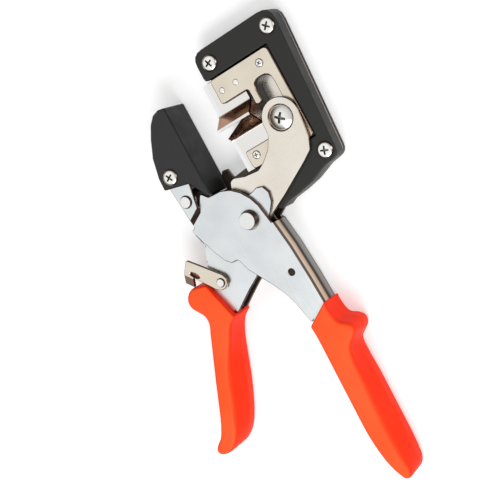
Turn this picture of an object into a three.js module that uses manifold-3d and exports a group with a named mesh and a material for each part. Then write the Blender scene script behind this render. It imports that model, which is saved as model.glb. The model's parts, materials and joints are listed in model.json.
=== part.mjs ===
// Grafting shears: squeezing the handles slides a V shaped blade sideways against an anvil.
// Lengths are millimetres. The origin is on the axis of the main pivot, level with the back face.
// +Z points out of the face that carries the lever plate, +Y runs from the grips to the head.
import * as THREE from 'three';
import { mergeVertices } from 'three/addons/utils/BufferGeometryUtils.js';
import Module from 'manifold-3d';

const wasm = await Module();
wasm.setup();

// Sheets and layers, from the back face upwards
const coverThickness = 2.2;
const frameSheet = 1.6;
const housingDepth = 7.8;
const leverSheet = 1.5;
const clampSheet = 1.4;
const clampSink = 0.2;
const bladeSheet = 1.2;
const runningGap = 0.2;
const seatGap = 0.1;
const overrun = 1;

const chassisBack = coverThickness;
const chassisFront = chassisBack + frameSheet;
const housingFront = chassisFront + housingDepth;
const leverPlateBack = housingFront + runningGap;
const leverPlateFront = leverPlateBack + leverSheet;
const leverFront = leverPlateFront + leverSheet;
const frontBack = leverFront + runningGap;
const frontFace = frontBack + frameSheet;
const leverBack = chassisFront + runningGap;
const leverBackFace = leverBack + leverSheet;
const gripFront = frontFace + coverThickness;

// Handles: width and length of the sheets between the main pivot and the grips
const handleWidth = 46;
const handleLength = 80;

// Main pivot
const pivotRadius = 3;
const pivotHeadRadius = 4.3;
const pivotHeadHeight = 3.1;
const bushWall = 2;

// Drive: the screw and sleeve that carry the blade carrier along
const driveAcross = 37.2;
const driveUp = 33.8;
const leverTurn = THREE.MathUtils.degToRad(26);
const sleeveRadius = 4.4;
const driveScrewRadius = 2.4;
const driveHeadRadius = 5.5;
const driveHeadHeight = 2;
const driveHeadSink = 0.7;
const driveHeadRing = 0.6;
const leverHeadRadius = 9.6;
const slotPlay = 0.65;
const slotEnd = 12.3;

// Stroke of the carrier, as the best straight line through the lever's half and full turn
const driveReach = Math.hypot(driveAcross, driveUp);
const driveAngle = Math.atan2(driveUp, driveAcross);
const halfTravel = driveAcross - driveReach * Math.cos(driveAngle + leverTurn / 2);
const fullTravel = driveAcross - driveReach * Math.cos(driveAngle + leverTurn);
const stroke = (halfTravel + fullTravel) * 2 / 3;

// Anvil
const anvilOffset = handleWidth * 0.226;
const anvilWidth = handleWidth * 0.467;
const anvilHeight = 47;
const anvilFoot = handleLength * 0.2375;
const anvilDepth = 19.6;
const anvilBevel = anvilWidth * 0.028;
const anvilRound = anvilWidth * 0.056;

// Blade: one bent sheet with a V between two flanges
const cutGap = 0.3;
const bladeAxis = 42.5;
const bladeRise = 8.2;
const bladeHalfWidth = 6.2;
const bladeRidge = 0.6;
const bladeFoldRadius = 0.8;
const bladeGroundWidth = 1.8;
const bladeEdgeThickness = 0.15;
const bladeReliefLength = 14;
const bladeBackGap = 2;
const bladeEdge = stroke + cutGap - anvilOffset;

// Carrier that holds the blade
const carrierHeight = 46;
const spineWall = 4.6;
const fingerWidth = 3.4;
const fingerDrop = 8.4;
const clampSetback = 5.2;
const lowerClampSetback = 3.9;
const upperClampHeight = 12.6;
const lowerClampHeight = 9.1;
const carrierSetback = 2.5;
const flangeInset = 0.4;
const tongueReach = 1.7;
const tongueThickness = 2;
const tongueLift = 1.9;
const tongueLength = 27;
const carrierRound = 1.8;

const slotRadius = sleeveRadius + slotPlay;
const slotLeft = driveAcross - slotRadius;
const slotRight = driveAcross + slotRadius;
const slotFoot = driveUp - slotRadius;
const slotHead = bladeAxis + slotEnd;
const carrierTop = bladeAxis + carrierHeight / 2;
const carrierFoot = bladeAxis - carrierHeight / 2;
const carrierRight = slotRight + spineWall;
const windowRight = slotLeft - fingerWidth;
const bladeRight = windowRight - bladeBackGap;
const clampFront = housingFront - clampSink;
const clampBack = clampFront - clampSheet;
const flangeBack = clampBack - bladeSheet;
const carrierBack = chassisFront + runningGap;
const upperClampFoot = carrierTop - upperClampHeight;

// Housing: a black cover round the carrier, on the frame's back sheet
const slideGap = 0.5;
const topArm = 14.1;
const sideArm = 10.4;
const sideArmTaper = 4.8;
const topArmReach = 36.4;
const footArm = 21;
const footArmReach = 30.5;
const housingRound = 6;
const housingEdge = 0.8;
const coverEdge = 0.5;
const coverSkin = 0.6;

const openingRight = carrierRight + slideGap;
const openingTop = carrierTop + slideGap;
const openingFoot = carrierFoot - slideGap;
const housingTop = openingTop + topArm;
const housingRight = openingRight + sideArm;
const housingLeft = openingRight - topArmReach;
const chassisLeft = openingRight - footArmReach;

// Screws, rivets and the nut
const coverScrewRadius = 1.9;
const coverHeadRadius = 3.9;
const coverHeadHeight = 1.5;
const clampScrewRadius = 1.1;
const clampHeadRadius = 2;
const clampHeadHeight = 0.7;
const clampRivetRadius = 0.9;
const clampRivetHeadRadius = 1.3;
const clampRivetHeadHeight = 0.3;
const clampHoleDepth = 3;
const strapRivetRadius = 1.8;
const strapRivetHeadRadius = 3;
const strapRivetHeadHeight = 1.1;
const sinkDepth = 1;
const spacerWall = 2.2;
const nutRadius = 3.8;
const nutHeight = 2.8;
const fastenerSides = 24;

// Grips, which follow the handles
const strapRise = coverThickness;
const hangHoleRadius = 1.5;
const rightGripWidth = handleWidth * 0.326;
const rightGripLength = handleLength * 1.181;
const rightGripLeft = handleWidth * 0.009;
const rightGripTop = -handleLength * 0.615;
const leftGripWidth = handleWidth * 1.022;
const leftGripLength = handleLength * 1.0125;
const leftGripRight = -handleWidth * 0.685;
const leftGripTop = -handleLength * 0.195;
const gripRound = rightGripWidth * 0.107;
const gripFacet = rightGripWidth * 0.24;
const sheetRound = 1.2;
const springPinRadius = 1.2;
const leverRivetRadius = 1.8;

// Latch
const latchAcross = -handleWidth * 0.648;
const latchUp = -handleLength * 0.246;
const latchWidth = 22;
const latchHeight = 23;
const latchSheet = 1.6;
const latchGap = 0.7;
const latchRivetRadius = 1.4;
const latchHeadRadius = 2.1;
const latchHeadHeight = 0.8;
const latchTabDrop = 4.6;
const latchTabReach = 5.8;
const latchHoleWidth = 2.9;
const latchHoleHeight = 1.1;
const latchHoleInset = 1.6;

// Return spring round the bush
const springWire = 1.3;
const springTurnHeight = 1.8;
const springLeg = 12.6;
const springTail = 17;
const springClearance = 0.6;
const springStart = 0;
const springEnd = THREE.MathUtils.degToRad(110) + 4 * Math.PI;
const springSteps = 40;
const springSides = 6;

// Right edge of the frame's front sheet, which folds back there as a web that ends in the right
// grip: shares of handleWidth and handleLength, measured from the main pivot
const webShares = [
  [0.217, -0.075], [0.257, -0.25], [0.283, -0.467], [0.294, -0.611], [0.289, -0.75],
  [0.26, -1.04], [0.224, -1.3],
];

// The rest of the front sheet's outline, from its lower corner round to its upper right edge
const frontSheetShares = [
  [0.065, -0.703], [0.035, -0.63], [0.005, -0.56], [-0.04, -0.488], [-0.12, -0.404],
  [-0.214, -0.323], [-0.3, -0.25], [-0.343, -0.175], [-0.424, -0.174], [-0.485, -0.144],
  [-0.565, -0.054], [-0.6, 0.003], [-0.67, 0.104], [-0.476, 0.165], [-0.441, 0.223],
  [-0.372, 0.28], [-0.3, 0.235], [-0.143, 0.231], [-0.037, 0.208], [0.052, 0.166], [0.122, 0.11],
  [0.165, 0.051],
];

// Left side of the tang below the web, from its end up to the mouth of the grip
const rightTangShares = [
  [0.21, -1.37], [0.16, -1.4], [0.11, -1.36], [0.085, -1.24], [0.08, -1.05], [0.083, -0.82],
  [0.1, -0.66],
];

// Stations of a strap: its left and right edge and how far it has stepped outwards
const strapShares = [
  [-0.613, 0.069, -0.456, 0.119, 0], [-0.625, 0.13, -0.46, 0.18, 0],
  [-0.603, 0.165, -0.446, 0.214, 1], [-0.635, 0.372, -0.393, 0.364, 1],
  [-0.635, 0.518, -0.393, 0.518, 1],
];

// The bridge of the back sheet behind the jaw: left and lower points, before the housing's edge
const bridgeShares = [
  [-0.07, 0.31], [-0.1, 0.335], [-0.17, 0.34], [-0.215, 0.3], [-0.215, 0.15], [0, -0.15],
  [0.2, -0.06],
];
const bridgeHeadShare = 0.3;

// Left edge of the lever, which folds back as a web that ends in the left grip
const leverWebShares = [
  [-0.641, -0.013], [-0.707, -0.098], [-0.771, -0.178], [-0.802, -0.249], [-0.839, -0.273],
  [-0.913, -0.325], [-0.963, -0.4], [-1.011, -0.5], [-1.096, -0.6], [-1.191, -0.715],
  [-1.28, -0.825],
];
const leverTangShares = [
  [-1.33, -0.906], [-1.311, -0.948], [-1.267, -0.95], [-1.239, -0.926], [-1.161, -0.83],
  [-1.087, -0.728], [-0.978, -0.644], [-0.893, -0.563], [-0.804, -0.488], [-0.698, -0.441],
  [-0.65, -0.419], [-0.72, -0.25],
];
const leverMouthShares = [[-0.806, -0.219], [-0.674, -0.459]];
const leverFootShares = [
  [-0.559, -0.416], [-0.404, -0.36], [-0.263, -0.316], [-0.065, -0.2], [0.113, -0.095],
];
const leverHeadShares = [
  [0.174, -0.049], [0.239, -0.011], [0.296, 0.03], [0.32, 0.089], [0.285, 0.134], [0.215, 0.146],
  [0.139, 0.133], [-0.174, 0.12], [-0.478, 0.07],
];
const leverHubShares = [[0.16, 0], [0.12, 0.06], [0.04, 0.11], [-0.174, 0.12], [-0.478, 0.07]];

// Outlines of the grips: shares of each grip's width and length from the corner of its mouth,
// and how much of the sloping facet each point takes
const rightGripShares = [
  [0.92, -0.003, 0], [0.965, -0.067, 0.035], [1.06, -0.112, 0.105], [1.32, -0.136, 0.21],
  [1.475, -0.165, 0.245], [1.44, -0.203, 0.21], [1.24, -0.23, 0.14], [1.035, -0.257, 0.105],
  [0.99, -0.315, 0.4], [1.005, -0.453, 0.7], [0.985, -0.643, 1], [0.965, -0.792, 0.9],
  [0.92, -0.897, 0.6], [0.88, -0.945, 0.3], [0.79, -0.98, 0.1], [0.65, -0.998, 0],
  [0.5, -0.993, 0], [0.37, -0.955, 0], [0.26, -0.905, 0], [0.165, -0.841, 0],
  [0.085, -0.76, 0], [0.045, -0.675, 0],
  [0.06, -0.538, 0], [0.075, -0.379, 0], [0.095, -0.241, 0], [0.107, -0.157, 0],
  [0.113, -0.084, 0],
];
const leftGripShares = [
  [-0.126, -0.025, 0], [-0.219, -0.005, 0], [-0.304, 0, 0], [-0.377, -0.019, 0],
  [-0.426, -0.062, 0], [-0.421, -0.109, 0], [-0.37, -0.151, 0], [-0.33, -0.185, 0],
  [-0.323, -0.232, 0], [-0.368, -0.288, 0], [-0.451, -0.388, 0], [-0.543, -0.501, 0],
  [-0.63, -0.61, 0], [-0.713, -0.719, 0], [-0.796, -0.817, 0], [-0.883, -0.893, 0],
  [-0.955, -0.925, 0], [-0.993, -0.955, 0], [-0.98, -0.984, 0], [-0.92, -1, 0],
  [-0.833, -0.998, 0],
  [-0.743, -0.978, 0.2], [-0.636, -0.926, 0.45], [-0.534, -0.84, 0.8], [-0.449, -0.747, 0.85],
  [-0.372, -0.652, 1], [-0.3, -0.551, 0.85], [-0.236, -0.457, 0.4], [-0.168, -0.373, 0],
  [-0.087, -0.304, 0], [0, -0.267, 0],
];

// Depth of each ring of a grip: inset share of gripRound, share of the facet, share of the depth
const gripRings = [
  [1, 0, 0], [0.3, 0, 0.035], [0, 0, 0.11], [0, 0, 0.4], [0.1, 0.9, 0.9], [0.4, 1, 0.965],
  [1, 1, 1],
];

// Anvil outline: shares of anvilWidth and anvilHeight from the foot of its face
const anvilShares = [
  [0, 0], [0, 0.985], [-0.18, 1], [-0.353, 0.979], [-0.51, 0.913], [-0.688, 0.787],
  [-0.879, 0.609], [-0.986, 0.404], [-1, 0.27], [-0.36, 0.205], [-0.09, 0.004],
];

// Lever plate below its round head: shares of driveAcross and driveUp, from the main pivot
const leverPlateShares = [
  [1.258, 1], [1.237, 0.784], [1.207, 0.577], [1.145, 0.426], [0.995, 0.325], [0.556, 0.065],
  [0.296, -0.071], [0.134, -0.222], [-0.134, -0.222], [-0.231, 0], [-0.188, 0.237],
  [-0.078, 0.491], [-0.038, 0.592], [0.022, 0.618], [0.183, 0.56], [0.39, 0.538], [0.5, 0.598],
  [0.642, 0.722], [0.737, 0.882], [0.742, 1],
];

// Lower edge of the housing: shares of footArmReach and footArm from its inner right corner
const housingFootShares = [
  [-0.1, 0.33], [-0.41, 0.16], [-0.67, 0.08], [-0.92, 0.033], [-1.03, -0.038], [-1.12, -0.01],
];

// Latch outline: shares of latchWidth and latchHeight from its rivet
const latchShares = [
  [-0.527, 0.765], [0.12, 0.14], [0.17, 0.03], [0.138, -0.081], [0.04, -0.152],
  [-0.08, -0.152], [-0.189, -0.081], [-0.39, 0.155], [-0.732, 0.535],
];

function solidOf(geometry) {
  const bare = new THREE.BufferGeometry();
  bare.setAttribute('position', geometry.getAttribute('position'));
  if (geometry.index) {
    bare.setIndex(geometry.index);
  }
  const merged = mergeVertices(bare);
  const corners = merged.index.array;
  const kept = [];
  for (let i = 0; i < corners.length; i += 3) {
    const [a, b, c] = [corners[i], corners[i + 1], corners[i + 2]];
    if (a !== b && b !== c && c !== a) {
      kept.push(a, b, c);
    }
  }
  const vertProperties = merged.getAttribute('position').array;
  const triVerts = new Uint32Array(kept);
  return new wasm.Manifold(new wasm.Mesh({ numProp: 3, vertProperties, triVerts }));
}

function geometryOf(solid) {
  const mesh = solid.getMesh();
  const geometry = new THREE.BufferGeometry();
  geometry.setAttribute('position', new THREE.BufferAttribute(mesh.vertProperties, 3));
  geometry.setIndex(new THREE.BufferAttribute(mesh.triVerts, 1));
  geometry.computeVertexNormals();
  return geometry;
}

function joined(first, ...others) {
  return others.reduce((whole, other) => whole.add(other), first);
}

function cut(whole, ...tools) {
  return tools.reduce((rest, tool) => rest.subtract(tool), whole);
}

function placed(shares, width, length, across = 0, up = 0) {
  return shares.map(([x, y]) => new THREE.Vector2(across + x * width, up + y * length));
}

function outline(points) {
  return points.map(([x, y]) => new THREE.Vector2(x, y));
}

// A closed outline with a curve at each corner, no larger than its sides allow
function rounded(points, radius, radiusShares) {
  const shape = new THREE.Shape();
  const count = points.length;
  for (let i = 0; i < count; i += 1) {
    const corner = points[i];
    const back = points[(i + count - 1) % count].clone().sub(corner);
    const ahead = points[(i + 1) % count].clone().sub(corner);
    const half = back.angleTo(ahead) / 2;
    const wanted = radius * (radiusShares ? radiusShares[i] : 1);
    const room = Math.min(back.length(), ahead.length()) / 2.05;
    const reach = Math.min(wanted / Math.tan(half), room);
    const start = corner.clone().addScaledVector(back.normalize(), reach);
    const end = corner.clone().addScaledVector(ahead.normalize(), reach);
    if (i === 0) {
      shape.moveTo(start.x, start.y);
    } else {
      shape.lineTo(start.x, start.y);
    }
    shape.quadraticCurveTo(corner.x, corner.y, end.x, end.y);
  }
  shape.closePath();
  return shape;
}

// The direction of a line or a closed outline at one of its points
function heading(points, i, closed) {
  const count = points.length;
  const before = closed ? points[(i + count - 1) % count] : points[Math.max(i - 1, 0)];
  const after = closed ? points[(i + 1) % count] : points[Math.min(i + 1, count - 1)];
  return after.clone().sub(before).normalize();
}

// Points moved to the right of the line's direction
function shifted(points, distance, closed = false) {
  return points.map((point, i) => {
    const along = heading(points, i, closed);
    return new THREE.Vector2(point.x + along.y * distance, point.y - along.x * distance);
  });
}

function grown(points, distance) {
  return shifted(points, distance * Math.sign(THREE.ShapeUtils.area(points)), true);
}

// A strip of sheet that stands on an open line
function strip(points, thickness) {
  return new THREE.Shape([...points, ...shifted(points, thickness).reverse()]);
}

function slab(shape, bottom, top, curveSegments = 4) {
  const depth = top - bottom;
  const geometry = new THREE.ExtrudeGeometry(shape, { depth, bevelEnabled: false, curveSegments });
  geometry.translate(0, 0, bottom);
  return solidOf(geometry);
}

// A slab with rounded edges at both faces
function pillow(shape, bottom, top, edge, bevelSegments = 2, curveSegments = 4) {
  const geometry = new THREE.ExtrudeGeometry(shape, {
    depth: top - bottom - 2 * edge,
    bevelThickness: edge,
    bevelSize: edge,
    bevelOffset: -edge,
    bevelSegments,
    curveSegments,
  });
  geometry.translate(0, 0, bottom + edge);
  return solidOf(geometry);
}

function block(left, right, foot, head, bottom, top) {
  const geometry = new THREE.BoxGeometry(right - left, head - foot, top - bottom);
  geometry.translate((left + right) / 2, (foot + head) / 2, (bottom + top) / 2);
  return solidOf(geometry);
}

function rod([x, y], radius, bottom, top, sides = fastenerSides) {
  const geometry = new THREE.CylinderGeometry(radius, radius, top - bottom, sides);
  geometry.rotateX(Math.PI / 2);
  geometry.translate(x, y, (bottom + top) / 2);
  return solidOf(geometry);
}

function tube(place, inner, outer, bottom, top) {
  return cut(rod(place, outer, bottom, top), rod(place, inner, bottom - overrun, top + overrun));
}

// A turned piece on an upright axis; its profile runs from the lower end of the axis upwards
function turned([x, y], profile, sides = fastenerSides) {
  const geometry = new THREE.LatheGeometry(outline(profile), sides);
  geometry.rotateX(Math.PI / 2);
  geometry.translate(x, y, 0);
  return solidOf(geometry);
}

// A cross head screw that seats at a level, its cross turned by an angle
function screw(place, shank, head, headHeight, foot, seat, angle) {
  const crown = seat + headHeight;
  const body = turned(place, [
    [0, foot], [shank, foot], [shank, seat], [head, seat], [head, seat + headHeight * 0.4],
    [head * 0.85, seat + headHeight * 0.8], [head * 0.45, crown], [0, crown],
  ]);
  const arms = [0, Math.PI / 2].map((turn) => {
    const geometry = new THREE.BoxGeometry(head, head * 0.23, headHeight);
    geometry.rotateZ(turn + angle);
    geometry.translate(place[0], place[1], crown);
    return solidOf(geometry);
  });
  return cut(body, ...arms);
}

// A stud with a low round head at its front end
function stud(place, shank, head, headHeight, foot, seat) {
  return turned(place, [
    [0, foot], [shank, foot], [shank, seat], [head, seat], [head, seat + headHeight * 0.6],
    [head * 0.88, seat + headHeight], [0, seat + headHeight],
  ]);
}

// A solid through rings with equal counts of points; flat gives a point's place in the end faces
function loft(rings, flat) {
  const middle = (ring) => ring.reduce((sum, point) => sum.add(point), new THREE.Vector3());
  const travel = middle(rings.at(-1)).sub(middle(rings[0]));
  const normal = rings[0].reduce((sum, point, i) => {
    const next = rings[0][(i + 1) % rings[0].length];
    return sum.add(new THREE.Vector3().crossVectors(point, next));
  }, new THREE.Vector3());
  const ordered = normal.dot(travel) < 0 ? rings.map((ring) => [...ring].reverse()) : rings;
  const count = ordered[0].length;
  const index = [];
  for (let i = 0; i < ordered.length - 1; i += 1) {
    for (let k = 0; k < count; k += 1) {
      const a = i * count + k;
      const b = i * count + (k + 1) % count;
      index.push(a, b, a + count, b, b + count, a + count);
    }
  }
  const addFace = (ring, start, upward) => {
    const flatRing = ring.map(flat);
    const forward = THREE.ShapeUtils.area(flatRing) > 0 === upward;
    THREE.ShapeUtils.triangulateShape(flatRing, []).forEach(([a, b, c]) => {
      index.push(start + a, start + (forward ? b : c), start + (forward ? c : b));
    });
  };
  addFace(ordered[0], 0, false);
  addFace(ordered.at(-1), (ordered.length - 1) * count, true);
  const geometry = new THREE.BufferGeometry();
  const places = new Float32Array(ordered.flat().flatMap(({ x, y, z }) => [x, y, z]));
  geometry.setAttribute('position', new THREE.BufferAttribute(places, 3));
  geometry.setIndex(index);
  return solidOf(geometry);
}

const group = new THREE.Group();

function addPiece(name, solid, color, roughness, metalness) {
  const material = new THREE.MeshStandardMaterial({ color, roughness, metalness });
  const mesh = new THREE.Mesh(geometryOf(solid), material);
  mesh.name = name;
  group.add(mesh);
}

const addPlastic = (name, solid) => addPiece(name, solid, 0x3c3c3e, 0.6, 0);
const addGrip = (name, solid) => addPiece(name, solid, 0xff5a32, 0.45, 0);
const addChrome = (name, solid) => addPiece(name, solid, 0xdce4e6, 0.25, 0.9);
const addNickel = (name, solid) => addPiece(name, solid, 0xe1d7cd, 0.3, 0.85);
const addZinc = (name, solid) => addPiece(name, solid, 0xf0f0ec, 0.25, 0.9);
const addSteel = (name, solid) => addPiece(name, solid, 0x3a3634, 0.45, 0.8);

// Places of the pivot, screws, rivets and pins
const pivotPlace = [0, 0];
const drivePlace = [driveAcross, driveUp];
const coverScrewPlaces = [
  [housingLeft + topArm * 0.5, openingTop + topArm * 0.46],
  [openingRight + sideArm * 0.46, openingTop + topArm * 0.46],
  [openingRight + sideArm * 0.1, openingFoot - topArm * 0.56],
];
const sunkScrewPlace = [chassisLeft + coverHeadRadius * 1.6, openingFoot - coverHeadRadius * 1.9];
const allCoverScrewPlaces = [...coverScrewPlaces, sunkScrewPlace];
const clampRivetPlaces = [2.8, 9].map((count) => [
  bladeEdge + clampSetback + clampRivetHeadRadius * count, upperClampFoot + upperClampHeight * 0.46,
]);
const clampScrewPlaces = [
  [driveAcross + clampHeadRadius * 1.4, carrierTop - clampHeadRadius * 2.6],
  [bladeEdge + lowerClampSetback + clampHeadRadius * 2.4, carrierFoot + lowerClampHeight * 0.6],
];
const anvilScrewPlace = [-anvilOffset - anvilWidth * 0.684, anvilFoot + anvilHeight * 0.355];
const strapRivetPlace = [-handleWidth * 0.532, handleLength * 0.274];
const leverRivetPlace = [handleWidth * 0.02, handleLength * 0.11];
const latchPlace = [latchAcross, latchUp];
const hangHolePlace = [handleWidth * 0.137, -handleLength * 0.383];

const frontLevels = [frontBack, frontFace];
const backLevels = [chassisBack, chassisFront];
const webPoints = placed(webShares, handleWidth, handleLength);
const frontSheetPoints = [
  ...webPoints.slice(1, 4), ...placed(frontSheetShares, handleWidth, handleLength),
];
const rightTangPoints = [
  ...webPoints.slice(2), ...placed(rightTangShares, handleWidth, handleLength),
];
const leverWebPoints = placed(leverWebShares, handleWidth, handleLength);
const leverTangPoints = [
  ...leverWebPoints.slice(2), ...placed(leverTangShares, handleWidth, handleLength),
];

// The housing's outline, shared by the back cover; the frame's back sheet also closes its window
function housingPoints(window) {
  const foot = placed(housingFootShares, footArmReach, footArm, openingRight, openingFoot - footArm);
  const rim = [
    [housingLeft, openingTop], [housingLeft, housingTop], [housingRight, housingTop],
    [housingRight - sideArmTaper, openingFoot - topArm * 0.9],
  ];
  return [...outline(rim), ...foot, new THREE.Vector2(chassisLeft, openingFoot), ...outline(window)];
}
const housingRoundShares = [0.3, 1, 1.2, 0.8, 0.5, 0.6, 0.6, 0.4, 0.3, 0.3, 0.3, 0.1, 0.1];
const windowPoints = [[openingRight, openingFoot], [openingRight, openingTop]];
const housingShape = rounded(housingPoints(windowPoints), housingRound, housingRoundShares);
const chassisPoints = housingPoints([[chassisLeft, openingTop]]);
const chassisShape = rounded(chassisPoints, housingRound, housingRoundShares);

// A strap that steps out from a handle sheet to one face of the anvil
function makeStrap([low, high], rise) {
  const rings = strapShares.map(([leftX, leftY, rightX, rightY, share]) => {
    const left = [leftX * handleWidth, leftY * handleLength];
    const right = [rightX * handleWidth, rightY * handleLength];
    return [[left, low], [right, low], [right, high], [left, high]].map(([[x, y], z]) => (
      new THREE.Vector3(x, y, z + rise * share)
    ));
  });
  return loft(rings, ({ x, z }) => new THREE.Vector2(x, z));
}

function makeFrame() {
  const bridgeRight = chassisLeft + overrun;
  const bridgePoints = [
    ...placed(bridgeShares, handleWidth, handleLength), new THREE.Vector2(bridgeRight, 0),
    new THREE.Vector2(bridgeRight, handleLength * bridgeHeadShare),
  ];
  const sheetShape = rounded(frontSheetPoints, sheetRound);
  const tang = new THREE.Shape(rightTangPoints);
  const sheets = [frontLevels, backLevels].flatMap((levels) => [
    slab(sheetShape, ...levels), slab(tang, ...levels),
  ]);
  const body = joined(
    ...sheets,
    makeStrap(frontLevels, strapRise),
    makeStrap(backLevels, -strapRise),
    slab(chassisShape, ...backLevels),
    slab(rounded(bridgePoints, sheetRound), ...backLevels),
    slab(strip(webPoints, frameSheet), chassisBack, frontFace),
  );
  const through = [-overrun, gripFront + overrun];
  const screwHoles = allCoverScrewPlaces.map((place) => (
    rod(place, coverScrewRadius + seatGap, chassisBack - overrun, chassisFront + overrun)
  ));
  return cut(
    body,
    rod(pivotPlace, pivotRadius + seatGap, ...through),
    rod(strapRivetPlace, strapRivetRadius + seatGap, ...through),
    turned(strapRivetPlace, [
      [0, -overrun], [strapRivetRadius + sinkDepth + overrun + seatGap, -overrun],
      [strapRivetRadius + seatGap, sinkDepth], [0, sinkDepth],
    ]),
    rod(anvilScrewPlace, coverScrewRadius + seatGap, ...through),
    rod(hangHolePlace, hangHoleRadius, frontBack - overrun, frontFace + overrun),
    ...screwHoles,
  );
}

// A moulded grip with rounded edges and a sloping facet, hollow for the tang
function makeGrip(shares, width, length, across, up, tangPoints, bottom, top) {
  const controls = shares.map(([x, y, facet]) => (
    new THREE.Vector3(across + x * width, up + y * length, facet * gripFacet)
  ));
  const curve = new THREE.CatmullRomCurve3(controls).getPoints((controls.length - 1) * 3);
  const points = curve.map(({ x, y }) => new THREE.Vector2(x, y));
  const turn = Math.sign(THREE.ShapeUtils.area(points));
  const rings = gripRings.map(([insetShare, facetShare, depthShare]) => points.map((point, i) => {
    const along = heading(points, i, true);
    const mouthShare = Math.min(1, 0.3 + 0.2 * Math.min(i, points.length - 1 - i));
    const round = insetShare * gripRound * mouthShare;
    const inset = (round + facetShare * Math.max(curve[i].z, 0)) * turn;
    const place = new THREE.Vector2(point.x - along.y * inset, point.y + along.x * inset);
    return new THREE.Vector3(place.x, place.y, depthShare * gripFront);
  }));
  const body = loft(rings, ({ x, y }) => new THREE.Vector2(x, y));
  const hollow = new THREE.Shape(grown(tangPoints, seatGap));
  return cut(body, slab(hollow, bottom - seatGap, top + seatGap));
}

// The anvil takes the straps in slots in both faces and holds the nut from behind
function makeAnvil() {
  const points = placed(anvilShares, anvilWidth, anvilHeight, -anvilOffset, anvilFoot);
  const body = pillow(rounded(points, anvilRound), 0, anvilDepth, anvilBevel, 1);
  const stations = strapShares.slice(-3);
  const left = placed(stations, handleWidth, handleLength);
  const right = placed(stations.map((station) => station.slice(2)), handleWidth, handleLength);
  const strapShape = new THREE.Shape(grown([...left, ...right.reverse()], seatGap));
  const strapBack = frontBack + strapRise;
  return cut(
    body,
    slab(strapShape, strapBack - seatGap, strapBack + frameSheet + seatGap),
    slab(strapShape, -overrun, frameSheet + seatGap),
    rod(anvilScrewPlace, coverScrewRadius + seatGap, -overrun, anvilDepth + overrun),
    rod(anvilScrewPlace, nutRadius + seatGap, 0, frameSheet + nutHeight + 2 * seatGap, 6),
  );
}

function makeHousing() {
  const body = pillow(housingShape, chassisFront - 2 * housingEdge, housingFront, housingEdge);
  const below = block(
    -handleLength, handleLength, -handleLength, housingTop + overrun,
    chassisFront - 3 * housingEdge, chassisFront,
  );
  const tongueBack = carrierBack + tongueLift;
  const grooves = [
    [openingTop - overrun, openingTop + tongueReach],
    [openingFoot - tongueReach, openingFoot + overrun],
  ].map(([foot, head]) => block(
    bladeEdge, openingRight + slideGap, foot, head,
    tongueBack - runningGap, tongueBack + tongueThickness + runningGap,
  ));
  const holes = allCoverScrewPlaces.map((place) => (
    rod(place, coverScrewRadius + seatGap, chassisFront - overrun, housingFront + overrun)
  ));
  const sinkFoot = housingFront - coverHeadHeight - runningGap;
  const sink = rod(sunkScrewPlace, coverHeadRadius + seatGap, sinkFoot, housingFront + overrun);
  return cut(body, below, ...grooves, ...holes, sink);
}

function makeHousingBack() {
  const body = pillow(housingShape, 0, coverThickness + 2 * coverEdge, coverEdge, 1);
  const above = block(
    -handleLength, handleLength, -handleLength, housingTop + overrun, coverThickness,
    coverThickness + 3 * coverEdge,
  );
  const holes = allCoverScrewPlaces.map((place) => (
    rod(place, coverScrewRadius + seatGap, coverSkin, chassisBack + overrun)
  ));
  return cut(body, above, ...holes);
}

// Holes for the screws and rivets that clamp the blade
function clampHoles(foot, head) {
  return [
    ...clampScrewPlaces.map((place) => rod(place, clampScrewRadius + seatGap, foot, head, 12)),
    ...clampRivetPlaces.map((place) => rod(place, clampRivetRadius + seatGap, foot, head, 12)),
  ];
}

// The plate that clamps the blade has a window for the V and a slot for the drive
function makeClampPlate() {
  const upperLeft = bladeEdge + clampSetback;
  const lowerLeft = bladeEdge + lowerClampSetback;
  const lowerTop = carrierFoot + lowerClampHeight;
  const fingerFoot = upperClampFoot - fingerDrop;
  const points = outline([
    [upperLeft, carrierTop], [upperLeft, upperClampFoot], [windowRight, upperClampFoot],
    [windowRight, fingerFoot], [slotLeft, fingerFoot], [slotLeft, slotHead],
    [slotRight, slotHead], [slotRight, lowerTop], [lowerLeft, lowerTop], [lowerLeft, carrierFoot],
    [carrierRight, carrierFoot], [carrierRight, carrierTop],
  ]);
  const roundShares = [1, 1, 0.8, 0.9, 0.9, 2.4, 2.4, 1, 0.8, 1.2, 1, 1.4];
  const plate = slab(rounded(points, carrierRound, roundShares), clampBack, clampFront);
  return cut(plate, ...clampHoles(clampBack - overrun, clampFront + overrun));
}

function makeCarrier() {
  const left = bladeEdge + carrierSetback;
  const throatHalf = bladeHalfWidth + flangeInset;
  const tongueBack = carrierBack + tongueLift;
  const slotCentre = slotHead - slotRadius;
  const levels = [carrierBack - overrun, clampBack + overrun];
  return cut(
    joined(
      block(left, carrierRight, carrierFoot, carrierTop, carrierBack, flangeBack),
      block(windowRight, carrierRight, carrierFoot, carrierTop, flangeBack - overrun, clampBack),
      block(
        carrierRight - tongueLength, carrierRight, carrierFoot - tongueReach + runningGap,
        carrierTop + tongueReach - runningGap, tongueBack, tongueBack + tongueThickness,
      ),
    ),
    block(left - overrun, windowRight, bladeAxis - throatHalf, bladeAxis + throatHalf, ...levels),
    block(slotLeft, slotRight, slotFoot, slotCentre, ...levels),
    rod([driveAcross, slotCentre], slotRadius, ...levels),
    ...clampHoles(flangeBack - clampHoleDepth, clampFront),
  );
}

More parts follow.
